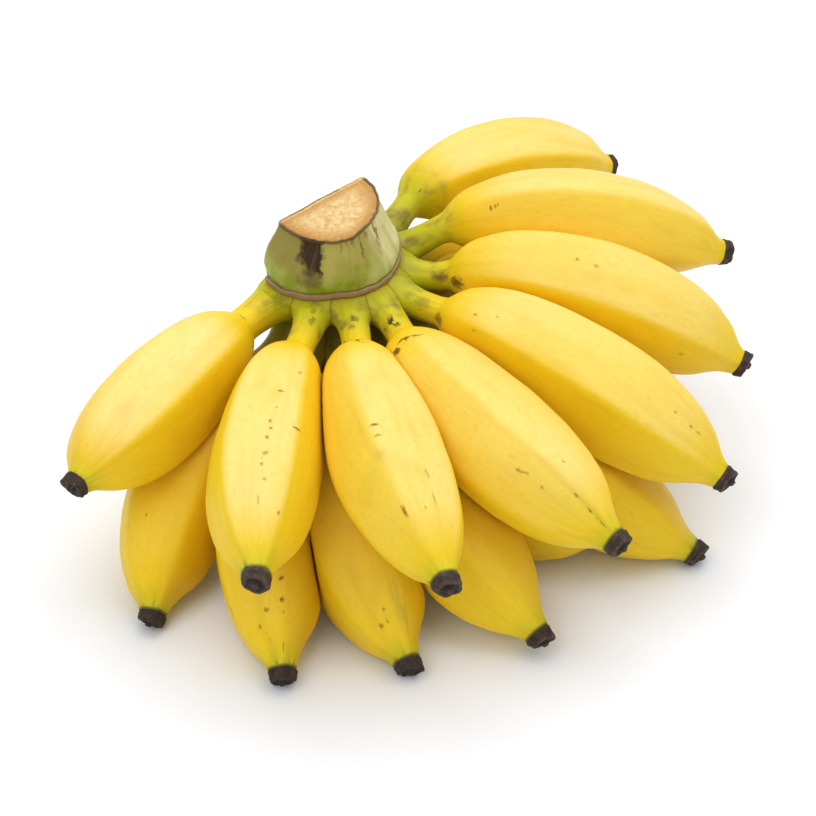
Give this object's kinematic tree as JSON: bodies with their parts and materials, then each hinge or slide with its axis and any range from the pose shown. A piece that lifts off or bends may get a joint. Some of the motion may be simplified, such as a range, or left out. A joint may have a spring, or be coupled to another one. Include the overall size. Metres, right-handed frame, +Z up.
{
  "type": "hand of bananas",
  "caption": "A hand of small ripe bananas: plump, gently bent, five-ridged fingers in two rows, fanned round the cut piece of stalk that holds them. It stands on the tips of its lower row.",
  "frame": {"origin": "on the surface that the hand stands on, below the middle of its box", "axes": "+Z is up, out of the cut stalk; -Y is the front, the side that the fan of fingers faces; +X is to the right seen from there"},
  "size_m": [0.2137, 0.2294, 0.0936],
  "materials": {
    "banana_skin": "satin, waxy yellow peel",
    "crown_rind": "matt green rind with a cut, fibrous top"
  },
  "bodies": {
    "root": {"crown": "crown_rind", "upper_1": "banana_skin", "upper_2": "banana_skin", "upper_3": "banana_skin", "upper_4": "banana_skin", "upper_5": "banana_skin", "upper_6": "banana_skin", "upper_7": "banana_skin", "upper_8": "banana_skin", "lower_1": "banana_skin", "lower_2": "banana_skin", "lower_3": "banana_skin", "lower_4": "banana_skin", "lower_5": "banana_skin", "lower_6": "banana_skin", "lower_7": "banana_skin", "lower_8": "banana_skin", "lower_9": "banana_skin"}
  },
  "joints": []
}
